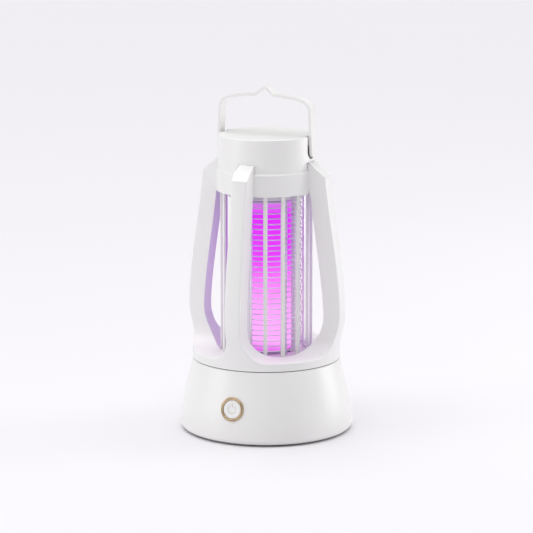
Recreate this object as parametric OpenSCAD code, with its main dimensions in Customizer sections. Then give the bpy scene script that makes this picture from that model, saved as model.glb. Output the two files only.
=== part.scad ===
// Rechargeable lantern-style bug zapper: a flared base with the battery and the electronics, a
// lift-off cage of four posts with an inner ring of guard slats, a high-voltage grid around an
// ultraviolet lamp, and a cap with a swinging carry handle.
// Millimetres, +Z up, origin on the floor under the middle of the base. The front is -Y.

/* [Base] */
// Height of the rubber foot below the base's bottom edge
foot_h = 1.2; // [0.8:0.1:1.5]
// Height of the base, from its bottom edge to the seam
base_h = 50.9; // [50:0.1:54]
// Widest radius of the base, just above the floor
base_r = 62.2; // [61.5:0.1:64]
// Radius of the base at the seam
seam_r = 53.6; // [53:0.1:54.5]
// Thickness of the moulded walls
wall = 2.2; // [1.9:0.1:2.4]

/* [Power button] */
// Place of the button along the curve of the base's side, 0 at the floor and 1 at the seam
button_t = 0.45; // [0.40:0.01:0.50]
// Outer radius of the metal bezel
bezel_r = 8.65; // [8.2:0.05:9.2]
// Radius of the button itself
button_r = 6.65; // [6:0.05:6.8]
// How far the button goes in
button_travel = 0.8; // [0.5:0.1:1]

/* [Cage] */
// Width of a post
post_w = 12; // [10:0.5:14]
// Radius of the posts' outer face at its widest
belly_r = 59.75; // [58:0.25:61]
// Height of the posts' widest place above the floor
belly_z = 89; // [85:0.5:95]
// Radius of the windows' round lower corners
window_corner_r = 16.5; // [12:0.5:18]
// Height of the windows' lower edge above the seam
sill_up = 6.6; // [6.6:0.1:8]
// Height of the windows' upper edge above the floor
window_top_z = 174.2; // [172:0.2:176]
// Outer radius of the collar above the windows
collar_r = 35.9; // [35.6:0.1:36.5]
// Height of the collar
collar_h = 16.5; // [15:0.5:17]
// Number of guard slats
slats = 16; // [8:4:20]
// Width of a guard slat
slat_w = 3; // [2:0.25:3.5]

/* [Cap] */
// Radius of the cap
cap_r = 34.85; // [34.5:0.05:35]
// Height of the cap
cap_h = 24; // [23.5:0.5:26]
// Radius of the cap's rounded rim
cap_rim_r = 1; // [0.5:0.25:3]

/* [Handle] */
// Width of the handle's strip
handle_w = 8.4; // [7:0.2:9]
// Thickness of the handle's strip
handle_t = 1.9; // [1.6:0.1:2.2]
// Height of the handle's top bar above its pivot, at the middle
handle_rise = 38.6; // [36:0.2:44]
// Height of the hook peak above the top bar
peak_h = 4.7; // [3:0.1:6]
// Gap between the handle's arms at the pivots
handle_gap = 70; // [69.8:0.1:70.4]

/* [Lamp and grid] */
// Radius of the lamp's tube
lamp_r = 18; // [16:0.5:18]
// Middle radius of the high-voltage rings
grid_r = 25.2; // [25:0.1:25.4]
// Distance from one ring to the next
ring_pitch = 3.84; // [3.6:0.02:3.84]
// Number of rings
rings = 29; // [23:2:29]
// Thickness of the rings' wire
ring_wire = 0.9; // [0.7:0.1:1]

/* [Hidden] */
$fn = 96;

shell_white = "#f2f2f0";
metal_gold = "#c79a55";
steel = "#c9ccd1";
board_green = "#2f6b4a";
far = 80;
white_cap = "#d6cfe4";
soft_white = "#e9e9ec";
lead_red = "#b3352f";
chip_black = "#202225";

// Heights above the floor
seam_z = foot_h + base_h;
deck_z = seam_z - wall;
sill_z = seam_z + sill_up;
collar_top_z = window_top_z + collar_h;
cap_top_z = collar_top_z + cap_h;
seam_gap = 0.6;

// The base's side as one cubic curve of [radius, height]
side = [[base_r, foot_h + 4], [base_r - 0.2, foot_h + 0.39 * base_h],
    [seam_r + 3.6, foot_h + 0.67 * base_h], [seam_r, seam_z - 0.6]];
foot_edge_r = 3;

// The posts' outer and inner faces, each as an upper and a lower curve
post_top = [48, 187.2];
post_foot_r = 53.3;
sill_in_r = 34.4;
outer_upper = [post_top, [51.3, 154.2], [belly_r - 0.15, belly_z + 30], [belly_r, belly_z]];
outer_lower = [[belly_r, belly_z], [belly_r, belly_z - 14], [53.7, belly_z - 20],
    [post_foot_r, seam_z + seam_gap]];
inner_upper = [[36.6, 176], [39.8, 145], [46.6, belly_z + 23], [47.3, belly_z - 3]];
inner_lower = [[47.3, belly_z - 3], [47.6, belly_z - 13], [40, belly_z - 23],
    [sill_in_r, sill_z]];
cage_bore_r = 33.4;
skirt_r = 50.5;
lip_r = 30.4;
lip_h = 2;
post_in_r = 34.6;
slope_rise = 9.5;
collar_in_r = 33.9;
collar_edge = 1.3;
web_z = collar_top_z - 5;
web_h = 2;
web_r = 34.2;
web_hole_r = 14;
slat_r = 32.2;
slat_d = 2;
slat_foot_z = sill_z - 1.7;
slat_head_z = window_top_z + 1.8;

// Lamp tower
seat_r = 28.2;
seat_top_z = seam_z + 5.4;
seat_hole_r = 6;
tube_z = seam_z + 3.6;
tube_top_z = window_top_z - 4.6;
tube_wall = 1.4;
lamp_cap_r = lamp_r + 0.6;
lamp_cap_floor = 2;
lower_grip = 3.6;
upper_grip = 2;
leds = 9;
led_pitch = 12;
top_plate_z = window_top_z - 3.7;
top_plate_h = 3;
first_ring_z = seam_z + 8.9;
rod_r = 0.8;
live_r = grid_r + 0.4;
return_r = grid_r - 0.4;
rod_step = ring_wire / 2 + rod_r - 0.2;
rod_clear = 0.1;
pillar_at_r = 21.6;
pillar_r = 1.8;
live_angles = [30, 150, 270];
return_angles = [90, 210, 330];
pillar_angles = [0, 120, 240];
tray_in_r = 28.7;
tray_out_r = 47;
tray_z = seam_z + 0.1;
tray_floor = 1.1;
tray_h = 3.7;
tray_wall = 1;

// Inside the base
cover_z = foot_h + 0.4;
cover_top_z = foot_h + 3;
cover_r = 57.8;
spigot_in_r = 48.2;
spigot_out_r = 50.2;
deck_hole_r = 7;
foot_in_r = 50.6;
foot_out_r = 55.9;
boss_angles = [45, 135, 225, 315];
boss_at_r = 46;
boss_r = 3.5;
boss_bore_r = 1.2;
cell_r = 9.2;
cell_l = 65;
cell_at = [0, 12, cover_top_z + 10.6];
cradle_half = [36.5, 11];
contact_x = 33.3;
lead_r = 0.8;
board_size = [56, 34, 1.6];
board_at = [0, -19, 27];
board_top_z = board_at[2] + board_size[2];
board_posts = [[-25, -32], [25, -32], [-25, -6], [25, -6]];
charge_z = 14.2;
charge_h = 1.2;
charge_posts = [[-5.5, 46.5], [5.5, 46.5]];
port_z = 17;
pocket_half = [8.2, 4.7];
pocket_y = 57.6;
socket_hole = [9.6, 3.9];
pipe_x = 14;
pipe_r = 1.25;
flap_size = [16, 2.4];
flap_top_z = port_z + 4.4;
knuckle_r = 1.1;
flap_y = 57.9;
flap_pivot = [59.2, 13.8];
flap_pin_r = 0.6;
seat_screw_at_r = 12;
seat_screw_angles = [45, 165, 285];
cap_screw_at_r = 27;
cap_screw_angles = [90, 210, 330];
screw_shaft_r = 1.15;
screw_bore_r = 1.2;
screw_clear_r = 1.6;

// Button cluster, measured from the wall's outer face along its normal
bezel_front = 0.7;
bezel_back = -4.6;
button_fit = 0.1;
stem_end = -8;
switch_top = stem_end - button_travel - 0.05;
switch_board_z = -13.2;
switch_board_h = 1.2;
switch_post_x = 13;
bezel_flange_r = 10.2;
button_flange_r = 7.8;
dish_r = 30.2;
dish_depth = 0.4;

// Handle
pivot_z = collar_top_z + 13.3;
arm_in = handle_gap / 2;
groove_r = handle_w / 2 + 1.4;
groove_floor = 32;
pin_r = 2;
pin_end = 27.5;
bush_r = 3.4;
bush_gap = 0.35;
bush_start = 26;
bush_flange_r = 4;

function bezier(p, t) = let (u = 1 - t)
    u * u * u * p[0] + 3 * u * u * t * p[1] + 3 * u * t * t * p[2] + t * t * t * p[3];
function slope(p, t) = let (u = 1 - t)
    3 * (u * u * (p[1] - p[0]) + 2 * u * t * (p[2] - p[1]) + t * t * (p[3] - p[2]));
function curve(p, n) = [for (i = [0:n]) bezier(p, i / n)];
function flip(list) = [for (i = [len(list) - 1:-1:0]) list[i]];
function mirror_x(list) = [for (p = list) [-p[0], p[1]]];
function unit(v) = v / norm(v);
function side_normal(list, i) = let (
    a = list[max(i - 1, 0)], b = list[min(i + 1, len(list) - 1)], d = unit(b - a)) [-d[1], d[0]];
function beside(list, t) = [for (i = [0:len(list) - 1]) list[i] + t * side_normal(list, i)];

button_wall = bezier(side, button_t);
button_slope = slope(side, button_t);
button_tilt = atan2(-button_slope[0], button_slope[1]);

// Local frame on the base's front wall: +Z is the wall's outward normal
module on_button_axis() {
    translate([0, -button_wall[0], button_wall[1]]) rotate([90 - button_tilt, 0, 0]) children();
}

// Repeats its child at each angle, at radius r
module around(angles, r) {
    for (a = angles) rotate(a) translate([r, 0, 0]) children();
}

module tube_z(r_out, r_in, z_low, z_high) {
    translate([0, 0, z_low]) difference() {
        cylinder(r = r_out, h = z_high - z_low);
        translate([0, 0, -1]) cylinder(r = r_in, h = z_high - z_low + 2);
    }
}

module block(x, y, z) {
    translate([x[0], y[0], z[0]]) cube([x[1] - x[0], y[1] - y[0], z[1] - z[0]]);
}

// Self-tapping screw, head down, with a cross recess; its tip points up
module screw(shaft_r, length, head_r, head_h) {
    difference() {
        union() {
            cylinder(r = shaft_r, h = length);
            translate([0, 0, -head_h]) cylinder(r = head_r, h = head_h);
        }
        for (a = [0, 90]) rotate(a)
            translate([-head_r * 0.6, -0.25, -head_h - 0.1]) cube([head_r * 1.2, 0.5, head_h * 0.6]);
    }
}

// Insulated wire through points
module wire(points, r) {
    for (i = [0:len(points) - 2]) {
        d = points[i + 1] - points[i];
        translate(points[i]) rotate([0, acos(d[2] / norm(d)), atan2(d[1], d[0])])
            cylinder(r = r, h = norm(d));
        if (i > 0) translate(points[i]) sphere(r = r * 1.05);
    }
}

module rounded_rect(size, r) {
    square([size[0] - 2 * r, size[1]], center = true);
    square([size[0], size[1] - 2 * r], center = true);
    for (x = [-1, 1], y = [-1, 1])
        translate([x * (size[0] / 2 - r), y * (size[1] / 2 - r)]) circle(r = r, $fn = 32);
}

// ---- Base ----

module base_outline() {
    polygon(concat([[0, foot_h + 3]], [[base_r, foot_h + 3]], curve(side, 14),
        [[seam_r - 0.6, seam_z], [0, seam_z]]));
    translate([0, foot_h]) square([base_r - foot_edge_r, foot_edge_r + 0.1]);
    translate([base_r - foot_edge_r, foot_h + foot_edge_r]) circle(r = foot_edge_r);
}

module base_cavity() {
    inner = [for (p = curve(side, 14)) if (p[1] < deck_z - 0.5) p - [wall, 0]];
    polygon(concat([[0, foot_h + 5], [base_r - wall, foot_h + 5]],
        [for (p = inner) if (p[1] > foot_h + 5) p], [[seam_r - wall, deck_z], [0, deck_z]]));
    square([55.6, foot_h + 6]);
    square([cover_r + 0.2, cover_top_z]);
}

module base_housing() color(shell_white) difference() {
    union() {
        rotate_extrude() difference() {
            base_outline();
            base_cavity();
        }
        tube_z(spigot_out_r, spigot_in_r, deck_z, sill_z - wall - 0.1);
        around(boss_angles, boss_at_r)
            translate([0, 0, cover_top_z]) cylinder(r = boss_r, h = deck_z + 1 - cover_top_z);
        // pad behind the charging port's pocket
        intersection() {
            block([-12, 12], [54, 62], [foot_h + 5, 25]);
            cylinder(r = base_r - 1.2, h = 60);
        }
        // posts that carry the switch board
        on_button_axis() for (x = [-1, 1] * switch_post_x)
            translate([x, 0, switch_board_z + switch_board_h]) cylinder(r = 2, h = 9.5);
    }
    around(boss_angles, boss_at_r)
        translate([0, 0, cover_top_z - 1]) cylinder(r = boss_bore_r, h = 16, $fn = 32);
    translate([0, 0, deck_z - 1]) cylinder(r = deck_hole_r, h = wall + 3);
    around(seat_screw_angles, seat_screw_at_r)
        translate([0, 0, deck_z - 1]) cylinder(r = screw_clear_r, h = 5);
    rod_holes(deck_z - 1, wall + 2);
    on_button_axis() {
        translate([0, 0, -8]) cylinder(r = bezel_r + 0.05, h = 12);
        for (x = [-1, 1] * switch_post_x)
            translate([x, 0, switch_board_z]) cylinder(r = 0.8, h = 8, $fn = 32);
    }
    // pocket for the port's flap, its socket hole, its hinge pin and the light pipe's hole
    block([-1, 1] * pocket_half[0], [pocket_y, far], [port_z - pocket_half[1], port_z + pocket_half[1]]);
    translate([0, pocket_y - 4.6, port_z]) rotate([-90, 0, 0])
        linear_extrude(6) rounded_rect(socket_hole, 1.2);
    translate([-10.5, flap_pivot[0], flap_pivot[1]]) rotate([0, 90, 0])
        cylinder(r = flap_pin_r, h = 21, $fn = 32);
    translate([pipe_x, 48, port_z]) rotate([-90, 0, 0])
        cylinder(r = pipe_r + 0.05, h = 20, $fn = 48);
}

module bottom_cover() color(shell_white) difference() {
    union() {
        translate([0, 0, cover_z]) cylinder(r = cover_r, h = cover_top_z - cover_z);
        for (p = board_posts)
            translate([p[0], p[1], cover_z]) cylinder(r = 2.6, h = board_at[2] - cover_z);
        for (p = charge_posts)
            translate([p[0], p[1], cover_z]) cylinder(r = 2, h = charge_z - cover_z);
    }
    translate([0, 0, cover_z - 1]) tube_z(foot_out_r + 0.2, foot_in_r - 0.2, 0, 1.85);
    around(boss_angles, boss_at_r) translate([0, 0, cover_z - 1]) {
        cylinder(r = 1.5, h = 6, $fn = 48);
        cylinder(r = 2.9, h = 2.3, $fn = 48);
    }
    for (p = board_posts)
        translate([p[0], p[1], board_at[2] - 8]) cylinder(r = 1, h = 9, $fn = 32);
    for (p = charge_posts)
        translate([p[0], p[1], charge_z - 6]) cylinder(r = 0.8, h = 7, $fn = 32);
}

module foot_ring() color("#5b5d60") tube_z(foot_out_r, foot_in_r, 0, cover_z + 0.8);

module cover_screws() color(steel) around(boss_angles, boss_at_r)
    translate([0, 0, cover_z + 1.25]) screw(boss_bore_r - 0.05, 10, 2.6, 1.2, $fn = 48);

// ---- Power supply and electronics ----

module battery_cradle() color("#3a3d42") difference() {
    block([-1, 1] * cradle_half[0], [cell_at[1] - cradle_half[1], cell_at[1] + cradle_half[1]],
        [cover_top_z, cell_at[2] + 1]);
    translate([-cell_l / 2 - 0.3, cell_at[1], cell_at[2]]) rotate([0, 90, 0])
        cylinder(r = cell_r + 0.2, h = cell_l + 0.6);
    for (x = [-1, 1]) translate([x * contact_x, cell_at[1], cell_at[2]])
        cube([1.3, 12.4, 14.4], center = true);
}

module battery_cell() color("#3f79b5") translate([-cell_l / 2, cell_at[1], cell_at[2]])
    rotate([0, 90, 0]) {
        cylinder(r = cell_r, h = cell_l - 1.5);
        cylinder(r = 2.8, h = cell_l, $fn = 48);
    }

module battery_contacts() color(steel) for (x = [-1, 1])
    translate([x * contact_x, cell_at[1], cell_at[2] + 0.6]) cube([0.8, 12, 12.8], center = true);

module battery_leads() {
    y = cell_at[1];
    z = cell_at[2];
    for (x = [1, -1]) color(x > 0 ? lead_red : chip_black)
        wire([[x * contact_x, y, z + 7], [x * contact_x, y, z + 10.4], [x * contact_x, 2, z + 10.4],
            [x * 17, 2, z + 10.4], [x * 17, -8, z + 10.4], [x * 17, -8, board_at[2]]],
            lead_r, $fn = 32);
}

module main_board() color(board_green) difference() {
    translate([0, 0, board_size[2] / 2]) translate(board_at) cube(board_size, center = true);
    for (p = board_posts) translate([p[0], p[1], board_at[2] - 1]) cylinder(r = 1.3, h = 4, $fn = 32);
}

module board_screws() color(steel) {
    for (p = board_posts) translate([p[0], p[1], board_top_z])
        rotate([180, 0, 0]) screw(0.95, 6, 1.9, 1.1, $fn = 48);
    for (p = charge_posts) translate([p[0], p[1], charge_z + charge_h])
        rotate([180, 0, 0]) screw(0.75, 5, 1.5, 0.9, $fn = 48);
    on_button_axis() for (x = [-1, 1] * switch_post_x) translate([x, 0, switch_board_z])
        screw(0.75, 5, 1.5, 0.9, $fn = 48);
}

module step_up_transformer() {
    translate([0, -27, board_top_z]) {
        color("#2c2c30") {
            block([-9, 9], [-5, 5], [0, 2.4]);
            block([-9, 9], [-5, 5], [10, 12.4]);
            block([-9, -6.4], [-5, 5], [2.3, 10.1]);
            block([6.4, 9], [-5, 5], [2.3, 10.1]);
        }
        color("#d8a13a") translate([0, 0, 2.3]) cylinder(r = 5.6, h = 7.8);
    }
}

module high_voltage_capacitors() color("#8c3b2b") for (x = [-18, -13, 13, 18])
    translate([x, -18, board_top_z]) {
        cylinder(r = 2.2, h = 7.4, $fn = 48);
        translate([0, 0, 7.4]) cylinder(r1 = 2.2, r2 = 1.5, h = 0.6, $fn = 48);
    }

module control_chips() color(chip_black) {
    block([-6, -1], [-12, -8], [board_top_z, board_top_z + 1.5]);
    block([3, 9], [-12.5, -7.5], [board_top_z, board_top_z + 1.5]);
    block([-16, -12.5], [-11, -8], [board_top_z, board_top_z + 1.1]);
}

module charge_board() color(board_green) difference() {
    block([-9, 16.5], [42.5, 53.6], [charge_z, charge_z + charge_h]);
    for (p = charge_posts) translate([p[0], p[1], charge_z - 1]) cylinder(r = 1, h = 4, $fn = 32);
}

module charging_socket() {
    color(steel) translate([0, 49.8, port_z]) rotate([-90, 0, 0]) difference() {
        linear_extrude(7.5) rounded_rect([8.94, 3.2], 1.3);
        translate([0, 0, 1]) linear_extrude(7.5) rounded_rect([8.34, 2.56], 1.1);
    }
    color(chip_black) block([-3.3, 3.3], [50.7, 56.2], [port_z - 0.35, port_z + 0.35]);
}

module charge_light() color("#dff0e4") {
    translate([pipe_x, 54, port_z]) rotate([-90, 0, 0]) cylinder(r = pipe_r, h = 5.1, $fn = 48);
    block([pipe_x - 1.2, pipe_x + 1.2], [51.4, 54.2], [charge_z + charge_h, port_z + 1.2]);
}

module port_flap() color("#e4e4e2") difference() {
    union() {
        block([-flap_size[0] / 2, flap_size[0] / 2], [flap_y, flap_y + flap_size[1]],
            [flap_pivot[1], flap_top_z]);
        translate([-flap_size[0] / 2, flap_pivot[0], flap_pivot[1]]) rotate([0, 90, 0])
            cylinder(r = knuckle_r, h = flap_size[0], $fn = 48);
        block([-3.4, 3.4], [flap_y - 1, flap_y + 0.1], [port_z - 0.8, port_z + 0.8]);
    }
    translate([-far / 2, flap_pivot[0], flap_pivot[1]]) rotate([0, 90, 0])
        cylinder(r = flap_pin_r + 0.05, h = far, $fn = 32);
    // finger notch along the free edge
    translate([0, flap_y + flap_size[1] + 0.6, flap_top_z]) rotate([0, 90, 0])
        cylinder(r = 1.3, h = 7, center = true, $fn = 32);
}

module port_flap_pin() color(steel) translate([-10, flap_pivot[0], flap_pivot[1]])
    rotate([0, 90, 0]) cylinder(r = flap_pin_r, h = 20, $fn = 32);

// ---- Power button ----

module button_bezel() color(metal_gold) on_button_axis() rotate_extrude() difference() {
    union() {
        translate([button_r + button_fit, bezel_back])
            square([bezel_r - button_r - button_fit, bezel_front - 0.5 - bezel_back]);
        translate([button_r + button_fit + 0.5, bezel_back])
            square([bezel_r - button_r - button_fit - 1, bezel_front - bezel_back]);
        for (x = [button_r + button_fit + 0.5, bezel_r - 0.5])
            translate([x, bezel_front - 0.5]) circle(r = 0.5, $fn = 32);
        translate([button_r + 1, bezel_back]) square([bezel_flange_r - button_r - 1, 1]);
    }
}

module power_button() color(shell_white) on_button_axis() difference() {
    union() {
        rotate_extrude() {
            translate([0, -6]) square([button_r - 0.5, 6.2]);
            translate([0, -6]) square([button_r, 5.7]);
            translate([button_r - 0.5, -0.3]) circle(r = 0.5, $fn = 32);
            translate([0, -5.8]) square([button_flange_r, 1]);
        }
        translate([0, 0, stem_end]) cylinder(r = 2, h = 3);
    }
    // shallow dish for the fingertip
    translate([0, 0, dish_r + 0.2 - dish_depth]) sphere(r = dish_r, $fn = 160);
}

module tact_switch() on_button_axis() {
    body_z = switch_board_z + switch_board_h;
    color(chip_black) translate([-3, -3, body_z]) cube([6, 6, 2.4]);
    color(soft_white) translate([0, 0, body_z + 2.3])
        cylinder(r = 1.6, h = switch_top - body_z - 2.3, $fn = 48);
}

module switch_board() color(board_green) on_button_axis() difference() {
    translate([-15.5, -7, switch_board_z]) cube([31, 14, switch_board_h]);
    for (x = [-1, 1] * switch_post_x)
        translate([x, 0, switch_board_z - 1]) cylinder(r = 1, h = 4, $fn = 32);
}

// ---- Lamp tower ----

module insect_tray() color(soft_white) {
    tube_z(tray_out_r, tray_in_r, tray_z, tray_z + tray_floor);
    tube_z(tray_in_r + tray_wall, tray_in_r, tray_z, tray_z + tray_h);
    tube_z(tray_out_r, tray_out_r - tray_wall, tray_z, tray_z + tray_h);
}

// Holes for the grid's rods, each with a little play
module rod_holes(z_low, height) {
    around(live_angles, live_r + rod_step)
        translate([0, 0, z_low]) cylinder(r = rod_r + rod_clear, h = height, $fn = 32);
    around(return_angles, return_r - rod_step)
        translate([0, 0, z_low]) cylinder(r = rod_r + rod_clear, h = height, $fn = 32);
}

module lamp_seat() color(shell_white) difference() {
    translate([0, 0, seam_z]) cylinder(r = seat_r, h = seat_top_z - seam_z);
    translate([0, 0, tube_z - lamp_cap_floor - 0.1]) cylinder(r = lamp_cap_r + 0.1, h = 20);
    translate([0, 0, seam_z - 1]) cylinder(r = seat_hole_r, h = 20);
    around(seat_screw_angles, seat_screw_at_r)
        translate([0, 0, seam_z - 1]) cylinder(r = screw_bore_r, h = 20, $fn = 32);
    rod_holes(seam_z - 1, 20);
}

module seat_screws() color(steel) around(seat_screw_angles, seat_screw_at_r)
    translate([0, 0, deck_z]) screw(screw_shaft_r, 5, 2.5, 1.4, $fn = 48);

module lamp_lower_cap() color(white_cap) difference() {
    translate([0, 0, tube_z - lamp_cap_floor]) cylinder(r = lamp_cap_r, h = lamp_cap_floor + lower_grip);
    translate([0, 0, tube_z]) cylinder(r = lamp_r + 0.05, h = 20);
    translate([0, 0, tube_z - 3]) cylinder(r = seat_hole_r + 0.2, h = 20);
    around(seat_screw_angles, seat_screw_at_r)
        translate([0, 0, tube_z - 3]) cylinder(r = screw_bore_r + 0.1, h = 20, $fn = 32);
}

module lamp_tube() color("#e85cff", 0.6) tube_z(lamp_r, lamp_r - tube_wall, tube_z, tube_top_z);

module lamp_upper_cap() color(white_cap) difference() {
    translate([0, 0, tube_top_z - upper_grip]) cylinder(r = lamp_cap_r, h = upper_grip + 1.6);
    translate([0, 0, tube_top_z - far]) cylinder(r = lamp_r + 0.05, h = far);
}

module led_board() color("#e8e8e8")
    block([-7, 7], [-0.8, 0.8], [tube_z + 0.1, tube_top_z - 0.3]);

module uv_leds() color("#f6d9ff") for (i = [0:leds - 1], s = [-1, 1])
    translate([0, s * 1.5, tube_z + 9 + i * led_pitch]) cube([3.5, 1.4, 2.8], center = true);

module lamp_leads() color("#d9d9d9") for (x = [-3.2, 3.2])
    wire([[x, -0.8, tube_z + 2], [x, -4.2, tube_z + 2], [x, -4.2, board_top_z]], 0.6, $fn = 32);

module grid_leads() color(lead_red) {
    a = live_r + rod_step;
    b = return_r - rod_step;
    wire([[0, -a, deck_z - 3], [0, -a, board_top_z + 12.4]], lead_r, $fn = 32);
    wire([[b * cos(330), b * sin(330), deck_z - 3], [b * cos(330), b * sin(330), board_top_z]],
        lead_r, $fn = 32);
}

// Every second ring, joined by three upright rods that reach down through the deck
module ring_grid(r, rod_at, angles, first) {
    for (i = [first:2:rings - 1]) translate([0, 0, first_ring_z + i * ring_pitch])
        rotate_extrude() translate([r, 0]) circle(r = ring_wire / 2, $fn = 24);
    around(angles, rod_at) translate([0, 0, deck_z - 3])
        cylinder(r = rod_r, h = top_plate_z + 1.5 - deck_z + 3, $fn = 32);
}

module live_grid() color(steel) ring_grid(live_r, live_r + rod_step, live_angles, 0);

module return_grid() color(steel) ring_grid(return_r, return_r - rod_step, return_angles, 1);

module grid_pillars() color(soft_white) around(pillar_angles, pillar_at_r)
    translate([0, 0, seat_top_z]) cylinder(r = pillar_r, h = top_plate_z - seat_top_z, $fn = 48);

module grid_top_plate() color(shell_white) difference() {
    translate([0, 0, top_plate_z]) cylinder(r = seat_r, h = top_plate_h);
    rod_holes(top_plate_z - 1, top_plate_h - 0.4);
    translate([0, 0, top_plate_z - 1]) cylinder(r = lamp_cap_r + 0.1, h = 2);
}

// ---- Cage ----

// One window's outline: straight sides and round lower corners
module window_outline() {
    translate([post_w / 2, sill_z + window_corner_r]) square([far, 3 * far]);
    translate([post_w / 2 + window_corner_r, sill_z]) square([far, 3 * far]);
    translate([post_w / 2 + window_corner_r, sill_z + window_corner_r]) circle(r = window_corner_r);
}

module window_cutter() intersection() {
    translate([0, far, 0]) rotate([90, 0, 0]) linear_extrude(far) window_outline();
    rotate([90, 0, 90]) linear_extrude(far) window_outline();
}

// The cage before its windows are cut, as a section of [radius, height]
module cage_section() {
    outer = concat(curve(outer_upper, 10), [for (p = curve(outer_lower, 10)) if (p[1] < belly_z) p]);
    inner = [for (p = curve(inner_lower, 8)) if (p[1] < belly_z - 3) p];
    polygon(concat(outer, [[skirt_r, seam_z + seam_gap], [skirt_r, sill_z - 2],
        [cage_bore_r, sill_z - 2], [cage_bore_r, sill_z], [sill_in_r, sill_z]],
        flip(inner), flip(curve(inner_upper, 10)),
        [[post_in_r, 178], [post_in_r, collar_top_z - 1], [cap_r + 0.15, collar_top_z],
        [cap_r + 0.15, post_top[1] + slope_rise]]));
}

module cage_frame() color(shell_white) union() {
    difference() {
        rotate_extrude() cage_section();
        for (a = [0:90:270]) rotate(a) window_cutter();
    }
    // collar with a bevelled upper edge, and the web that carries the cap
    rotate_extrude() polygon([[collar_in_r, window_top_z], [collar_r, window_top_z],
        [collar_r, collar_top_z - collar_edge], [collar_r - 0.95, collar_top_z],
        [collar_in_r, collar_top_z]]);
    difference() {
        translate([0, 0, web_z]) cylinder(r = web_r, h = web_h);
        translate([0, 0, web_z - 1]) cylinder(r = web_hole_r, h = web_h + 2);
        around(cap_screw_angles, cap_screw_at_r)
            translate([0, 0, web_z - 1]) cylinder(r = screw_clear_r, h = web_h + 2, $fn = 48);
    }
    // lips that hold the guard slats
    tube_z(cage_bore_r + 0.5, lip_r, slat_foot_z - lip_h, slat_foot_z);
    tube_z(web_r, lip_r, slat_head_z, slat_head_z + lip_h);
}

module guard_slats() color(shell_white) around([for (i = [0:slats - 1]) i * 360 / slats], slat_r)
    translate([0, 0, slat_foot_z]) linear_extrude(slat_head_z - slat_foot_z)
        rounded_rect([slat_d, slat_w], 0.5);

// ---- Cap and handle ----

module cap_outline(inset) {
    r = cap_r - inset;
    rim = max(cap_rim_r - inset, 0.3);
    low = collar_top_z - (inset > 0 ? 1 : 0);
    high = cap_top_z - inset * 1.1;
    translate([0, low]) square([r - rim, high - low]);
    translate([0, low]) square([r, high - rim - low]);
    translate([r - rim, high - rim]) circle(r = rim);
}

// Slot in the cap's side that an arm of the handle stands in
module arm_groove() {
    translate([groove_floor, 0, pivot_z]) rotate([90, 0, 90]) linear_extrude(10) {
        circle(r = groove_r);
        translate([-groove_r, 0]) square([2 * groove_r, 30]);
    }
}

module top_cap() color(shell_white) difference() {
    union() {
        rotate_extrude() difference() {
            cap_outline(0);
            cap_outline(2);
        }
        // spigot inside the collar
        tube_z(33.7, 31.9, collar_top_z - 2.9, collar_top_z + 1);
        for (a = [0, 180]) rotate(a) {
            intersection() {
                block([29.8, 34], [-8, 8], [collar_top_z, cap_top_z - 1]);
                cylinder(r = cap_r - 1, h = 300);
            }
            translate([25.5, 0, pivot_z]) rotate([0, 90, 0]) cylinder(r = 5.4, h = 7);
        }
        around(cap_screw_angles, cap_screw_at_r)
            translate([0, 0, collar_top_z - 3]) cylinder(r = 3, h = cap_top_z - collar_top_z + 1);
    }
    for (a = [0, 180]) rotate(a) {
        arm_groove();
        translate([25, 0, pivot_z]) rotate([0, 90, 0]) cylinder(r = bush_r + 0.02, h = 12, $fn = 64);
    }
    around(cap_screw_angles, cap_screw_at_r)
        translate([0, 0, collar_top_z - 4]) cylinder(r = screw_bore_r, h = 14, $fn = 32);
}

module cap_screws() color(steel) around(cap_screw_angles, cap_screw_at_r)
    translate([0, 0, web_z]) screw(screw_shaft_r, 10, 2.6, 1.5, $fn = 48);

module handle_bushes() color("#b9b9bc") for (a = [0, 180]) rotate(a)
    translate([0, 0, pivot_z]) rotate([0, 90, 0]) difference() {
        union() {
            translate([0, 0, bush_start])
                cylinder(r = bush_r, h = groove_floor - bush_start, $fn = 64);
            translate([0, 0, groove_floor])
                cylinder(r = bush_flange_r, h = arm_in - groove_floor - bush_gap, $fn = 64);
        }
        cylinder(r = pin_r + 0.05, h = 60, $fn = 64);
    }

// Middle line of the handle's strip from the left arm's foot to the peak, as [x, height]
module handle_strip() {
    top = pivot_z + handle_rise;
    arm = -arm_in - handle_t / 2;
    corner = [[arm + 1.2, top - 12], [arm + 1.3, top - 6.5], [arm + 3, top - 3.8], [-26, top - 2.3]];
    bar = [[-26, top - 2.3], [-19, top - 1], [-13, top - 0.4], [-7.4, top]];
    half = concat([[arm - 0.15, pivot_z - 6], [arm, pivot_z]], curve(corner, 10),
        [for (i = [1:4]) bezier(bar, i / 4)],
        [[-5.2, top + 1.1], [-1.6, top + peak_h - 0.6], [0, top + peak_h]]);
    whole = concat(half, [for (i = [len(half) - 2:-1:0]) [-half[i][0], half[i][1]]]);
    polygon(concat(beside(whole, handle_t / 2), flip(beside(whole, -handle_t / 2))));
}

module carry_handle() color(shell_white) {
    intersection() {
        rotate([90, 0, 0]) linear_extrude(handle_w, center = true) handle_strip();
        rotate([90, 0, 90]) linear_extrude(100, center = true) {
            translate([0, pivot_z]) circle(r = handle_w / 2);
            translate([-handle_w / 2, pivot_z]) square([handle_w, 80]);
        }
    }
    for (a = [0, 180]) rotate(a) translate([pin_end, 0, pivot_z]) rotate([0, 90, 0])
        cylinder(r = pin_r, h = arm_in - pin_end + 0.5, $fn = 64);
}

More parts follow.
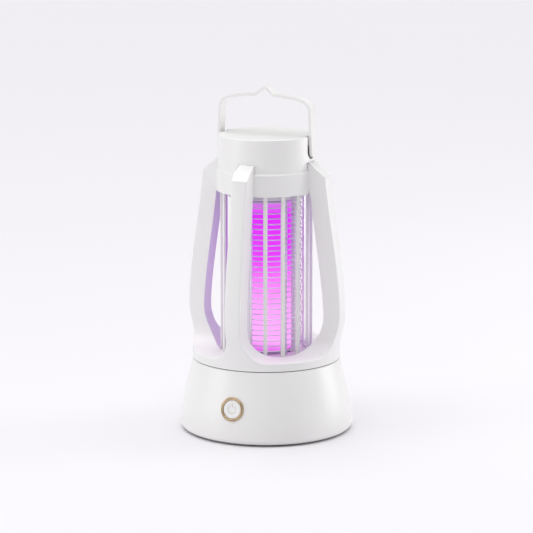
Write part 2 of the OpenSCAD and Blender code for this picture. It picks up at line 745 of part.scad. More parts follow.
base_housing();
bottom_cover();
foot_ring();
cover_screws();
battery_cradle();
battery_cell();
battery_contacts();
battery_leads();
main_board();
board_screws();
step_up_transformer();
high_voltage_capacitors();
control_chips();
charge_board();
charging_socket();
charge_light();
port_flap();
port_flap_pin();
button_bezel();
power_button();
tact_switch();
switch_board();
insect_tray();
lamp_seat();
seat_screws();
lamp_lower_cap();
lamp_tube();
lamp_upper_cap();
led_board();
uv_leds();
lamp_leads();
grid_leads();
live_grid();
return_grid();
grid_pillars();
grid_top_plate();
cage_frame();
guard_slats();
top_cap();
cap_screws();
handle_bushes();
carry_handle();
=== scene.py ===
"""Looks of a lantern-style bug zapper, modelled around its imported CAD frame. Blender 4.5."""
import math

import bmesh
import bpy
from mathutils import Matrix, Vector


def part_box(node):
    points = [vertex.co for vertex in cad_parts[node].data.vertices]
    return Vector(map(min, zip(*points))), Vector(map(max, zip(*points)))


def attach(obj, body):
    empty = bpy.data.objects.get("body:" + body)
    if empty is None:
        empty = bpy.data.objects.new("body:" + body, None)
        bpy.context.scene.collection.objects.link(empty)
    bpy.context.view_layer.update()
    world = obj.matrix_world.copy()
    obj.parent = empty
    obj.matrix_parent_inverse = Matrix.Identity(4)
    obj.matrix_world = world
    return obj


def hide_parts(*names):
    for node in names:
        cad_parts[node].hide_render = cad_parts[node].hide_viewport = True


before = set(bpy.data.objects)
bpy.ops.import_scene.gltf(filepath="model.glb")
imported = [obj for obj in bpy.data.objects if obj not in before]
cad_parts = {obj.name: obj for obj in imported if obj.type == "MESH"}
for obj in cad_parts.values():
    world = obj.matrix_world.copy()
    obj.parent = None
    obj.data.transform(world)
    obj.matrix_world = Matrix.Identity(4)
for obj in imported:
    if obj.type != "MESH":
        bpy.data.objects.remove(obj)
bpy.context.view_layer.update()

MM = 0.001
TURN = 2 * math.pi
scene = bpy.context.scene
scene.view_settings.view_transform = "Standard"


# ---- Dimensions, in millimetres, from the frame ----

def node_span(node):
    """Lowest and highest corner of a CAD node, in millimetres."""
    low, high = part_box(node)
    return low / MM, high / MM


base_low, base_high = node_span("base_housing")
BASE_R = base_high.x
FOOT_H = base_low.z
cage_low, cage_high = node_span("cage_frame")
SEAM_GAP = 0.6
SEAM_Z = cage_low.z - SEAM_GAP
SEAM_R = 53.6
BELLY_R = cage_high.x
BELLY_Z = 89.0
SILL_Z = SEAM_Z + 6.6
SILL_IN_R = 34.4
POST_HALF = 6.0
CORNER_R = 16.5
cap_high = node_span("top_cap")[1]
CAP_R = cap_high.x
CAP_TOP_Z = cap_high.z
COLLAR_TOP_Z = CAP_TOP_Z - 24
WINDOW_TOP_Z = COLLAR_TOP_Z - 16.5
COLLAR_R = 35.9
POST_TOP = (48.0, 187.2)
PIVOT_Z = COLLAR_TOP_Z + 13.3
handle_high = node_span("carry_handle")[1]
HANDLE_HALF_W = handle_high.y
HANDLE_TOP_Z = handle_high.z
HANDLE_T = 1.9
PEAK_H = 4.7
ARM_IN = 35.0
LAMP_R = node_span("lamp_tube")[1].x
TUBE_LOW_Z = node_span("lamp_tube")[0].z
TUBE_HIGH_Z = node_span("lamp_tube")[1].z
RINGS = 29
RING_PITCH = 3.84
RING_LOW_Z = SEAM_Z + 8.9
WIRE_R = 0.45
BUTTON_R = 6.65
BEZEL_R = 8.65
SPIGOT_OUT_R = 50.2
SPIGOT_IN_R = 48.2
DECK_HOLE_R = 8
WALL = 2.2
LIP_R = 30.4
SLATS = 16
SLAT_AT_R = 32.2
SEAT_R = 28.2
ROD_R = 0.8
WELD_R = 0.62
LIGHT_X = 14
LIGHT_R = 1.25

SIDE = ((BASE_R, FOOT_H + 4), (BASE_R - 0.2, FOOT_H + 19.85), (SEAM_R + 3.6, FOOT_H + 34.1),
        (SEAM_R, SEAM_Z - 0.6))
OUTER_UPPER = (POST_TOP, (51.3, 154.2), (BELLY_R - 0.15, BELLY_Z + 30), (BELLY_R, BELLY_Z))
OUTER_LOWER = ((BELLY_R, BELLY_Z), (BELLY_R, BELLY_Z - 14), (53.7, BELLY_Z - 20),
               (53.3, SEAM_Z + SEAM_GAP))
INNER_UPPER = ((36.6, 176.0), (39.8, 145.0), (46.6, BELLY_Z + 23), (47.3, BELLY_Z - 3))
INNER_LOWER = ((47.3, BELLY_Z - 3), (47.6, BELLY_Z - 13), (40.0, BELLY_Z - 23),
               (SILL_IN_R, SILL_Z))
BUTTON_AT = 0.45


# ---- Geometry helpers ----

def bezier(points, t):
    """Point of a cubic curve through (radius, height) control points."""
    u = 1 - t
    weights = (u * u * u, 3 * u * u * t, 3 * u * t * t, t * t * t)
    return tuple(sum(w * p[axis] for w, p in zip(weights, points)) for axis in (0, 1))


def bezier_slope(points, t):
    """Direction of the same curve at t."""
    u = 1 - t
    weights = (u * u, 2 * u * t, t * t)
    return tuple(sum(w * (b[axis] - a[axis]) for w, a, b in zip(weights, points, points[1:]))
                 for axis in (0, 1))


def radius_at(points, height):
    """Radius where a curve of falling height passes a height, by halving."""
    low, high = 0.0, 1.0
    for _ in range(40):
        middle = (low + high) / 2
        if bezier(points, middle)[1] > height:
            low = middle
        else:
            high = middle
    return bezier(points, low)[0]


def outer_radius(z):
    """Radius of the cage's outer face at a height."""
    return radius_at(OUTER_UPPER if z > BELLY_Z else OUTER_LOWER, z)


def inner_radius(z):
    """Radius of the posts' inner face at a height; inside the collar it is straight."""
    if z > INNER_UPPER[0][1]:
        return CAP_R + 0.2
    return radius_at(INNER_UPPER if z > BELLY_Z - 3 else INNER_LOWER, z)


def outline(*corners, segments=5):
    """Closed outline from (radius, height, fillet) corners, each fillet as an arc."""
    points = []
    count = len(corners)
    for i, (x, y, fillet) in enumerate(corners):
        here = Vector((x, y))
        if fillet == 0:
            points.append(here)
            continue
        back = (Vector(corners[i - 1][:2]) - here).normalized()
        ahead = (Vector(corners[(i + 1) % count][:2]) - here).normalized()
        half = back.angle(ahead) / 2
        centre = here + (back + ahead).normalized() * fillet / math.sin(half)
        first = here + back * fillet / math.tan(half) - centre
        last = here + ahead * fillet / math.tan(half) - centre
        sweep = first.angle_signed(last)
        for k in range(segments + 1):
            points.append(centre + Matrix.Rotation(-sweep * k / segments, 2) @ first)
    return points


def spun(points, steps=128):
    """Solid of revolution about Z from a closed outline of (radius, height)."""
    bm = bmesh.new()
    verts = [bm.verts.new((p[0] * MM, 0, p[1] * MM)) for p in points]
    edges = [bm.edges.new((a, b)) for a, b in zip(verts, verts[1:] + verts[:1])]
    bmesh.ops.spin(bm, geom=verts + edges, cent=(0, 0, 0), axis=(0, 0, 1), dvec=(0, 0, 0),
                   angle=TURN, steps=steps, use_merge=True, use_duplicate=False)
    bmesh.ops.remove_doubles(bm, verts=bm.verts, dist=1e-7)
    bmesh.ops.dissolve_degenerate(bm, edges=bm.edges, dist=1e-8)
    bmesh.ops.recalc_face_normals(bm, faces=bm.faces)
    return bm


def block(size, centre, bevel=0.0, segments=3):
    """Box with rounded edges."""
    bm = bmesh.new()
    bmesh.ops.create_cube(bm, size=1)
    bmesh.ops.scale(bm, vec=Vector(size) * MM, verts=bm.verts)
    if bevel:
        bmesh.ops.bevel(bm, geom=bm.edges[:], offset=bevel * MM, segments=segments, profile=0.5,
                        affect="EDGES", material=-1)
    bmesh.ops.translate(bm, vec=Vector(centre) * MM, verts=bm.verts)
    return bm


def plate(points, depth, bevel=0.0, segments=3):
    """Prism of an (x, y) outline, standing along +Z from the origin, with rounded rims."""
    bm = bmesh.new()
    face = bm.faces.new([bm.verts.new((p[0] * MM, p[1] * MM, 0)) for p in points])
    raised = bmesh.ops.extrude_face_region(bm, geom=[face])["geom"]
    tops = [v for v in raised if isinstance(v, bmesh.types.BMVert)]
    bmesh.ops.translate(bm, vec=(0, 0, depth * MM), verts=tops)
    bmesh.ops.recalc_face_normals(bm, faces=bm.faces)
    if bevel:
        rims = [e for e in bm.edges if abs(e.verts[0].co.z - e.verts[1].co.z) < 1e-9]
        bmesh.ops.bevel(bm, geom=rims, offset=bevel * MM, segments=segments, profile=0.5,
                        affect="EDGES", material=-1)
    return bm


def rounded_rectangle(width, height, radius, segments=5):
    """Outline of a rectangle with round corners, centred on the origin."""
    x, y = width / 2, height / 2
    return outline((-x, -y, radius), (x, -y, radius), (x, y, radius), (-x, y, radius),
                   segments=segments)


def rod(start, end, radius, sides=16, round_tip=0.0):
    """Straight rod between two points, its rims rounded where asked."""
    start, end = Vector(start) * MM, Vector(end) * MM
    bm = bmesh.new()
    length = (end - start).length
    bmesh.ops.create_cone(bm, cap_ends=True, segments=sides, radius1=radius * MM,
                          radius2=radius * MM, depth=length)
    if round_tip:
        rims = [e for e in bm.edges if abs(e.verts[0].co.z - e.verts[1].co.z) < 1e-9]
        bmesh.ops.bevel(bm, geom=rims, offset=round_tip * MM, segments=2, profile=0.5,
                        affect="EDGES", material=-1)
    turn = (end - start).to_track_quat("Z", "Y").to_matrix().to_4x4()
    bmesh.ops.transform(bm, matrix=Matrix.Translation((start + end) / 2) @ turn, verts=bm.verts)
    return bm


def joined(*parts):
    """One bmesh holding all the given ones."""
    whole = bmesh.new()
    for part in parts:
        mesh = bpy.data.meshes.new("part")
        part.to_mesh(mesh)
        part.free()
        whole.from_mesh(mesh)
        bpy.data.meshes.remove(mesh)
    return whole


def turned_copies(bm, count, start=0.0):
    """The same shape repeated evenly round Z."""
    mesh = bpy.data.meshes.new("part")
    bm.to_mesh(mesh)
    bm.free()
    whole = bmesh.new()
    for i in range(count):
        kept = len(whole.verts)
        whole.from_mesh(mesh)
        whole.verts.ensure_lookup_table()
        spin = Matrix.Rotation(start + TURN * i / count, 4, "Z")
        bmesh.ops.transform(whole, matrix=spin, verts=whole.verts[kept:])
    bpy.data.meshes.remove(mesh)
    return whole


def without(bm, *cutters):
    """The shape with the cutters' volumes taken out of it."""
    target = plain_object("cut", bm)
    for cutter in cutters:
        tool = plain_object("cutter", cutter)
        cut = target.modifiers.new("cut", "BOOLEAN")
        cut.operation = "DIFFERENCE"
        cut.solver = "EXACT"
        cut.object = tool
    bpy.context.view_layer.update()
    graph = bpy.context.evaluated_depsgraph_get()
    mesh = bpy.data.meshes.new_from_object(target.evaluated_get(graph))
    result = bmesh.new()
    result.from_mesh(mesh)
    for cut in target.modifiers:
        bpy.data.objects.remove(cut.object)
    bpy.data.objects.remove(target)
    bpy.data.meshes.remove(mesh)
    return result


def plain_object(name, bm):
    """A linked object made from a bmesh."""
    mesh = bpy.data.meshes.new(name)
    bm.to_mesh(mesh)
    bm.free()
    made = bpy.data.objects.new(name, mesh)
    scene.collection.objects.link(made)
    return made


def piece(name, bm, body, material, replaces=(), sharp=35, weighted=True):
    """Finishes a bmesh as a smooth-shaded piece of the object."""
    made = plain_object(name, bm)
    made.data.polygons.foreach_set("use_smooth", [True] * len(made.data.polygons))
    made.data.set_sharp_from_angle(angle=math.radians(sharp))
    made.data.materials.append(material)
    if weighted:
        even = made.modifiers.new("even normals", "WEIGHTED_NORMAL")
        even.keep_sharp = True
    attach(made, body)
    if replaces:
        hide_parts(*replaces)
    return made


def copy_of(node, merge=1e-6):
    """The merged mesh of a CAD node, as a new bmesh."""
    bm = bmesh.new()
    bm.from_mesh(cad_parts[node].data)
    bmesh.ops.remove_doubles(bm, verts=bm.verts, dist=merge)
    return bm


# ---- Materials ----

class Value:
    """A shader socket that can stand in a Python expression."""

    def __init__(self, graph, socket):
        self.graph = graph
        self.socket = socket

    def maths(self, operation, *others):
        """A Math node with this value first."""
        return self.graph.node("ShaderNodeMath", {"operation": operation},
                               dict(enumerate((self, *others))))

    def _after(self, operation, first):
        return self.graph.node("ShaderNodeMath", {"operation": operation}, {0: first, 1: self})

    def __add__(self, other):
        return self.maths("ADD", other)

    __radd__ = __add__

    def __mul__(self, other):
        return self.maths("MULTIPLY", other)

    __rmul__ = __mul__

    def __sub__(self, other):
        return self.maths("SUBTRACT", other)

    def __rsub__(self, other):
        return self._after("SUBTRACT", other)

    def __truediv__(self, other):
        return self.maths("DIVIDE", other)

    def __pow__(self, other):
        return self.maths("POWER", other)


class Graph:
    """The node tree of one material."""

    def __init__(self, name):
        self.material = bpy.data.materials.new(name)
        self.material.use_nodes = True
        self.tree = self.material.node_tree
        self.shader = self.tree.nodes["Principled BSDF"]
        self.place = self.node("ShaderNodeTexCoord", {}, {}, "Object")

    def node(self, kind, settings, inputs, output=0):
        """Any node: its settings first, then what its sockets hold or are linked to."""
        made = self.tree.nodes.new(kind)
        for key, value in settings.items():
            if key == "stops":
                self.set_stops(made.color_ramp, value)
            else:
                setattr(made, key, value)
        for key, value in inputs.items():
            self.feed(made.inputs[key], value)
        return Value(self, made.outputs[output])

    def set_stops(self, ramp, stops):
        """Gives a colour ramp its stops."""
        while len(ramp.elements) < len(stops):
            ramp.elements.new(0.5)
        for element, (position, colour) in zip(ramp.elements, stops):
            element.position = position
            element.color = (*colour, 1)

    def feed(self, socket, value):
        """Links a value to a socket, or sets the socket."""
        if isinstance(value, Value):
            self.tree.links.new(value.socket, socket)
        else:
            socket.default_value = value

    def noise(self, scale, detail=3.0, roughness=0.5, stretch=None, distortion=0.0):
        """Smooth noise from 0 to 1, finer for a larger scale, in cells per metre."""
        place = self.place
        if stretch:
            place = self.node("ShaderNodeMapping", {}, {"Vector": place, "Scale": stretch})
        return self.node("ShaderNodeTexNoise", {},
                         {"Vector": place, "Scale": scale, "Detail": detail,
                          "Roughness": roughness, "Distortion": distortion}, "Fac")

    def axes(self):
        """The object's x, y and z, in metres."""
        split = self.node("ShaderNodeSeparateXYZ", {}, {"Vector": self.place})
        owner = split.socket.node
        return [Value(self, owner.outputs[k]) for k in range(3)]

    def facing_in(self):
        """How far the surface faces the object's upright axis, from 0 to 1."""
        x, y, _ = self.axes()
        level = self.node("ShaderNodeCombineXYZ", {}, {"X": x, "Y": y})
        outward = self.node("ShaderNodeVectorMath", {"operation": "NORMALIZE"}, {0: level})
        normal = self.node("ShaderNodeNewGeometry", {}, {}, "Normal")
        turned = self.node("ShaderNodeVectorMath", {"operation": "DOT_PRODUCT"},
                           {0: normal, 1: outward}, "Value")
        return self.span(turned, -0.25, -0.9)

    def span(self, value, low, high, to_low=0.0, to_high=1.0):
        """Maps low..high to the new range, held at its ends."""
        return self.node("ShaderNodeMapRange", {"clamp": True},
                         {"Value": value, "From Min": low, "From Max": high,
                          "To Min": to_low, "To Max": to_high}, "Result")

    def colours(self, factor, stops):
        """Colour from a ramp."""
        return self.node("ShaderNodeValToRGB", {"stops": stops}, {"Fac": factor}, "Color")

    def mix(self, factor, first, second):
        """Blend of two colours."""
        def colour(c):
            return c if isinstance(c, Value) else (*c, 1)
        return self.node("ShaderNodeMix", {"data_type": "RGBA"},
                         {0: factor, 6: colour(first), 7: colour(second)}, 2)

    def bump(self, height, distance, strength=1.0):
        """Normal from a height of 0 to 1, over a depth in millimetres."""
        return self.node("ShaderNodeBump", {}, {"Strength": strength, "Distance": distance * MM,
                                                "Height": height}, "Normal")

    def made(self, **sockets):
        """Sets the shader's sockets, spaces written as underscores, and returns the material."""
        for key, value in sockets.items():
            name = key.replace("_", " ")
            if not isinstance(value, Value) and isinstance(value, tuple) and len(value) == 3:
                value = (*value, 1)
            self.feed(self.shader.inputs[name], value)
        return self.material


def moulded_plastic(name, colour, shade, gloss=0.34, grain=0.012, glow=0.0):
    """Satin moulded plastic: a fine spark-eroded grain, faint flow marks and handling smudges.
    Faces turned towards the lamp take a painted violet cast: the lamp's light painted into their
    colour, as strong as glow."""
    g = Graph(name)
    fine = g.noise(2600, 2, 0.6)
    pores = g.noise(900, 4, 0.65)
    flow = g.noise(16, 3, 0.5, stretch=(1, 1, 0.45), distortion=0.6)
    smudge = g.noise(60, 5, 0.6)
    tone = g.mix(g.span(flow, 0.3, 0.72), colour, shade)
    if glow:
        # painted lamplight: faces turned to the upright axis are tinted violet as if lit by the
        # lamp
        tone = g.mix(g.facing_in() * glow, tone, (0.50, 0.42, 0.78))
    rough = gloss + g.span(smudge, 0.35, 0.75, -0.035, 0.06) + fine * 0.02
    return g.made(Base_Color=tone, Roughness=rough, Normal=g.bump(fine * 0.6 + pores * 0.4, grain),
                  IOR=1.49, Coat_Weight=0.12, Coat_Roughness=0.22)


def gold_ring():
    """Gold-coloured metal, turned on a lathe: fine circular brushing and slight tarnish."""
    g = Graph("gold ring")
    brush = g.noise(1500, 2, 0.5, stretch=(0.25, 3, 0.25))
    tarnish = g.noise(240, 4, 0.6)
    tone = g.mix(g.span(tarnish, 0.4, 0.75), (0.68, 0.54, 0.36), (0.52, 0.40, 0.26))
    return g.made(Base_Color=tone, Metallic=1.0, Normal=g.bump(brush, 0.01),
                  Roughness=0.24 + g.span(tarnish, 0.3, 0.7, -0.04, 0.1))


def button_plastic():
    """The button's white plastic, with a grey on-off mark of an open circle and a bar."""
    g = Graph("button plastic")
    x, _, z = g.axes()
    up = (z - BUTTON_CENTRE.z) / (MM * math.cos(BUTTON_TILT))
    side = x / MM
    radius = (side * side + up * up).maths("SQRT")
    ring = g.span((radius - 3.0).maths("ABSOLUTE"), 0.26, 0.44, 1, 0)
    opening = g.span(side.maths("ABSOLUTE") - up * 0.55, 0.0, 0.16)
    bar = (g.span(side.maths("ABSOLUTE"), 0.26, 0.44, 1, 0)
           * g.span((up - 2.6).maths("ABSOLUTE"), 1.6, 1.75, 1, 0))
    mark = (ring * opening).maths("MAXIMUM", bar)
    grain = g.noise(2600, 2, 0.6)
    smudge = g.noise(110, 4, 0.6)
    tone = g.mix(mark * 0.7, WHITE, (0.56, 0.55, 0.53))
    return g.made(Base_Color=tone, Roughness=0.3 + smudge * 0.1 + mark * 0.12,
                  Normal=g.bump(grain * 0.1 - mark, 0.06), Coat_Weight=0.15)


def grid_steel(name, tone=(0.86, 0.85, 0.90)):
    """Drawn steel wire: lengthwise draw marks and a faint heat tint."""
    g = Graph(name)
    heat = g.noise(55, 3, 0.55)
    marks = g.noise(2100, 3, 0.6)
    colour = g.mix(g.span(heat, 0.45, 0.8), tone, (0.70, 0.62, 0.68))
    return g.made(Base_Color=colour, Metallic=0.6, Normal=g.bump(marks, 0.02),
                  Roughness=0.28 + marks * 0.16)


def plated_steel():
    """Zinc-plated screws and pins, with blue-grey passivation and scuffs."""
    g = Graph("plated steel")
    patch = g.noise(260, 4, 0.6)
    scuff = g.noise(1300, 3, 0.7, stretch=(1, 1, 5))
    colour = g.mix(g.span(patch, 0.35, 0.7), (0.62, 0.63, 0.66), (0.50, 0.51, 0.55))
    return g.made(Base_Color=colour, Metallic=1.0, Normal=g.bump(scuff, 0.015),
                  Roughness=0.3 + patch * 0.2)


GLOW_LOW = (1.0, 0.40, 0.98)
GLOW_HIGH = (0.74, 0.012, 0.98)


def lit_tube():
    """Frosted tube lit from inside: violet above, paler below, dim where it enters its caps."""
    g = Graph("lit tube")
    z = g.axes()[2]
    height = g.span(z, TUBE_LOW_Z * MM, TUBE_HIGH_Z * MM)
    cloud = g.noise(38, 3, 0.5)
    frost = g.noise(3200, 2, 0.6)
    level = height + (cloud - 0.5) * 0.12
    glow = g.colours(level, [(0.0, (0.30, 0.03, 0.36)), (0.04, (0.62, 0.10, 0.66)),
                             (0.09, GLOW_LOW), (0.34, (1.0, 0.34, 0.98)),
                             (0.50, (0.86, 0.14, 0.92)), (0.64, GLOW_HIGH), (0.90, GLOW_HIGH),
                             (0.96, (0.74, 0.16, 0.84)), (1.0, (0.50, 0.20, 0.60))])
    skin = g.mix(height, (0.45, 0.22, 0.45), (0.16, 0.01, 0.2))
    return g.made(Base_Color=skin, Emission_Color=glow, Emission_Strength=0.9,
                  Roughness=0.46 + frost * 0.12, Normal=g.bump(frost, 0.02),
                  Specular_IOR_Level=0.25)


def tinted_plastic(name, colour, shade):
    """Satin plastic of the lamp's end caps."""
    g = Graph(name)
    cloud = g.noise(90, 4, 0.6)
    grain = g.noise(2200, 2, 0.6)
    return g.made(Base_Color=g.mix(cloud, colour, shade), Roughness=0.4 + cloud * 0.12,
                  Normal=g.bump(grain, 0.015))


def soft_rubber(name, colour, shade):
    """Matt rubber with a pebbled skin and dust in its low spots."""
    g = Graph(name)
    pebbles = g.node("ShaderNodeTexVoronoi", {}, {"Vector": g.place, "Scale": 900}, "Distance")
    dust = g.noise(140, 4, 0.65)
    return g.made(Base_Color=g.mix(g.span(dust, 0.4, 0.75), colour, shade),
                  Roughness=0.72 + dust * 0.16, Normal=g.bump(1 - pebbles, 0.03))


def circuit_board(name, mask, track):
    """Solder mask over copper tracks, with the tracks a little raised."""
    g = Graph(name)
    grid = g.node("ShaderNodeTexBrick", {"offset": 0.5}, {
        "Vector": g.place, "Scale": 260, "Color1": (1, 1, 1, 1), "Color2": (0.8, 0.8, 0.8, 1),
        "Mortar": (0, 0, 0, 1), "Mortar Size": 0.09, "Bias": 0.1}, "Fac")
    patch = g.noise(120, 3, 0.5)
    lines = grid * g.span(patch, 0.42, 0.5)
    return g.made(Base_Color=g.mix(lines, mask, track), Roughness=0.3 + patch * 0.12,
                  Normal=g.bump(lines, 0.05), Coat_Weight=0.4)


def glossy_wrap(name, colour, shade):
    """Shrink-wrap, lacquer or wire insulation: glossy, slightly wrinkled."""
    g = Graph(name)
    wrinkle = g.noise(320, 4, 0.6, stretch=(0.4, 1, 1))
    cloud = g.noise(70, 3, 0.5)
    return g.made(Base_Color=g.mix(cloud, colour, shade), Roughness=0.24 + wrinkle * 0.14,
                  Normal=g.bump(wrinkle, 0.05))


def clear_lens(name, colour, strength):
    """Clear moulded lens that glows a little."""
    g = Graph(name)
    cloud = g.noise(500, 3, 0.5)
    glow = g.mix(cloud, colour, tuple(c * 0.7 for c in colour))
    return g.made(Base_Color=g.mix(cloud, colour, (0.9, 0.9, 0.92)), Emission_Color=glow,
                  Emission_Strength=strength, Roughness=0.14 + cloud * 0.08)


WHITE = (0.87, 0.87, 0.858)
button_wall = bezier(SIDE, BUTTON_AT)
button_run = bezier_slope(SIDE, BUTTON_AT)
BUTTON_TILT = math.atan2(-button_run[0], button_run[1])
BUTTON_CENTRE = Vector((0, -button_wall[0] * MM, button_wall[1] * MM))

plastic = moulded_plastic("white plastic", WHITE, (0.845, 0.845, 0.832))
# glow paints the lamp's violet light onto the inward faces of the cage, collar, lip and slats
cage_plastic = moulded_plastic("cage plastic", (0.865, 0.865, 0.855), (0.84, 0.84, 0.832), 0.36,
                               glow=0.5)
inner_plastic = moulded_plastic("inner plastic", (0.80, 0.79, 0.82), (0.74, 0.73, 0.77), 0.42)
gold = gold_ring()
button_white = button_plastic()
wire_steel = grid_steel("grid steel")
screw_steel = plated_steel()
glow_tube = lit_tube()
lamp_cap_plastic = tinted_plastic("lamp cap plastic", (0.52, 0.44, 0.60), (0.45, 0.38, 0.54))
grey_rubber = soft_rubber("grey rubber", (0.085, 0.085, 0.09), (0.14, 0.14, 0.145))
white_rubber = soft_rubber("white rubber", (0.78, 0.78, 0.77), (0.70, 0.70, 0.69))
board_green = circuit_board("circuit board", (0.02, 0.12, 0.06), (0.06, 0.25, 0.11))
board_white = circuit_board("white board", (0.80, 0.80, 0.80), (0.68, 0.68, 0.70))
dark_plastic = tinted_plastic("dark plastic", (0.035, 0.035, 0.04), (0.06, 0.06, 0.065))
cell_wrap = glossy_wrap("cell wrap", (0.03, 0.16, 0.42), (0.04, 0.20, 0.50))
lead_red = glossy_wrap("lead insulation", (0.40, 0.03, 0.03), (0.34, 0.025, 0.025))
lacquer = glossy_wrap("capacitor lacquer", (0.22, 0.05, 0.03), (0.28, 0.07, 0.04))
led_lens = clear_lens("led lens", (0.85, 0.45, 1.0), 0.6)
pipe_lens = clear_lens("light pipe lens", (0.72, 0.86, 0.76), 0.05)


# ---- Base ----

def button_frame():
    """Place of the button cluster: +Z is the front wall's outward normal."""
    return (Matrix.Translation(BUTTON_CENTRE)
            @ Matrix.Rotation(math.radians(90) - BUTTON_TILT, 4, "X"))


def make_base():
    """The flared shell with its deck, the locating rim, the button's hole and the port's recess."""
    side = [bezier(SIDE, k / 28) for k in range(29)]
    bottom = outline((58, FOOT_H, 0.4), (BASE_R, FOOT_H, 3.2), (BASE_R, FOOT_H + 9, 0),
                     (58, FOOT_H + 9, 0))[:12]
    top = outline((SEAM_R - 3, SEAM_Z - 4, 0), (SEAM_R, SEAM_Z - 4, 0), (SEAM_R - 0.1, SEAM_Z, 0.9),
                  (SPIGOT_OUT_R, SEAM_Z, 0.15), (SPIGOT_OUT_R, SILL_Z - WALL - 0.1, 0.6),
                  (SPIGOT_IN_R, SILL_Z - WALL - 0.1, 0.6), (SPIGOT_IN_R, SEAM_Z, 0.3),
                  (DECK_HOLE_R, SEAM_Z, 0.5), (DECK_HOLE_R, SEAM_Z - WALL, 0))[2:]
    inside = [(SEAM_R - WALL, SEAM_Z - WALL), (BASE_R - WALL - 3, FOOT_H + 26),
              (BASE_R - WALL, FOOT_H + 6), (58, FOOT_H + 6)]
    points = [*bottom, *(p for p in side if FOOT_H + 4.2 < p[1] < SEAM_Z - 1.5), *top, *inside]
    hole = rod((0, 0, -8), (0, 0, 4), BEZEL_R + 0.05, 96)
    bmesh.ops.transform(hole, matrix=button_frame(), verts=hole.verts)
    recess = plate(rounded_rectangle(16.4, 9.4, 1.2), 12)
    bmesh.ops.transform(recess, matrix=port_frame(52), verts=recess.verts)
    light_hole = rod((LIGHT_X, 45, PORT_Z), (LIGHT_X, 66, PORT_Z), LIGHT_R + 0.05, 40)
    shell = without(spun(points, 224), hole, recess, light_hole)
    piece("base_shell", shell, "base", plastic, ("base_housing",), 28)


def make_seam_shade_ring():
    """Dark ring lying on the base's shoulder, in the seam below the cage: painted shade that
    darkens the seam's gap.
    """
    seal = spun(outline((51.0, SEAM_Z - 0.1, 0), (52.6, SEAM_Z - 0.1, 0),
                        (52.6, SEAM_Z + 0.45, 0.2), (51.0, SEAM_Z + 0.45, 0.2)), 160)
    # painted shade: a dark rubber-toned ring put in the seam where there is only a shadowed gap
    piece("seam_shade_ring", seal, "base", grey_rubber)


PORT_Z = 17.0
RECESS_FLOOR = 57.6
FLAP_BACK = 57.9
HINGE_Y = 59.2
HINGE_Z = 13.8


def port_frame(depth):
    """Place on the back wall: +Z points out of the wall, depth is the distance from the axis."""
    return Matrix.Translation((0, depth * MM, PORT_Z * MM)) @ Matrix.Rotation(
        math.radians(-90), 4, "X")


def make_port():
    """Floor of the recess with the socket's mouth, and the flap with its hinge knuckle."""
    mouth = plate(rounded_rectangle(9.6, 3.9, 1.25), 20)
    bmesh.ops.translate(mouth, vec=(0, 0, -5 * MM), verts=mouth.verts)
    floor = without(plate(rounded_rectangle(22, 14, 2), 2.4), mouth)
    bmesh.ops.transform(floor, matrix=port_frame(RECESS_FLOOR - 2.4), verts=floor.verts)
    piece("port_recess", floor, "base", plastic)

    low, high = node_span("port_flap")
    width, height = high.x - low.x, high.z - low.z
    thick = 2.4
    body = plate(rounded_rectangle(width, height - 0.4, 0.9), thick, 0.45)
    bmesh.ops.transform(body, matrix=port_frame(FLAP_BACK), verts=body.verts)
    lift = (low.z + high.z) / 2 + 0.2 - PORT_Z
    bmesh.ops.translate(body, vec=(0, 0, lift * MM), verts=body.verts)
    knuckle = rod((low.x, HINGE_Y, HINGE_Z), (high.x, HINGE_Y, HINGE_Z), 1.1, 32, 0.15)
    nub = block((6.8, 1.2, 1.6), (0, 57.5, PORT_Z), 0.3)
    notch = rod((-3.5, 60.9, high.z), (3.5, 60.9, high.z), 1.3, 32, 0.3)
    flap = joined(without(body, notch), knuckle, nub)
    piece("port_flap_soft", flap, "flap", white_rubber, ("port_flap",))


def make_charge_light():
    """Domed end of the charge light's pipe."""
    pipe = spun(outline((0, 0, 0), (LIGHT_R, 0, 0), (LIGHT_R, 5.2, 0.5), (0, 5.4, 0)), 40)
    place = Matrix.Translation((LIGHT_X * MM, 53.9 * MM, PORT_Z * MM)) @ Matrix.Rotation(
        math.radians(-90), 4, "X")
    bmesh.ops.transform(pipe, matrix=place, verts=pipe.verts)
    piece("charge_light_pipe", pipe, "base", pipe_lens, ("charge_light",))


def make_button():
    """Gold bezel ring, and the dished button inside it."""
    fit = 0.1
    groove = BEZEL_R - 0.75
    ring = spun(outline((BUTTON_R + fit, -4.6, 0), (10.2, -4.6, 0.2), (10.2, -3.6, 0.2),
                        (BEZEL_R, -3.6, 0), (BEZEL_R, 0.45, 0.3), (groove + 0.1, 0.45, 0.2),
                        (groove, 0.2, 0.08), (groove - 0.25, 0.2, 0.08), (groove - 0.35, 0.7, 0.25),
                        (BUTTON_R + fit, 0.7, 0.4)), 160)
    bmesh.ops.transform(ring, matrix=button_frame(), verts=ring.verts)
    piece("bezel_ring", ring, "base", gold, ("button_bezel",))

    dish = [(4.9 * k / 12, 0.2 - 0.4 * (1 - (k / 12) ** 2)) for k in range(12, -1, -1)]
    rim = outline((0, -6, 0), (BUTTON_R, -6, 0), (BUTTON_R, 0.2, 0.5), (5.1, 0.2, 0))[1:]
    button = spun([(0, -6), *rim, *dish], 128)
    bmesh.ops.transform(button, matrix=button_frame(), verts=button.verts)
    piece("push_button", button, "button", button_white, ("power_button",), 40)


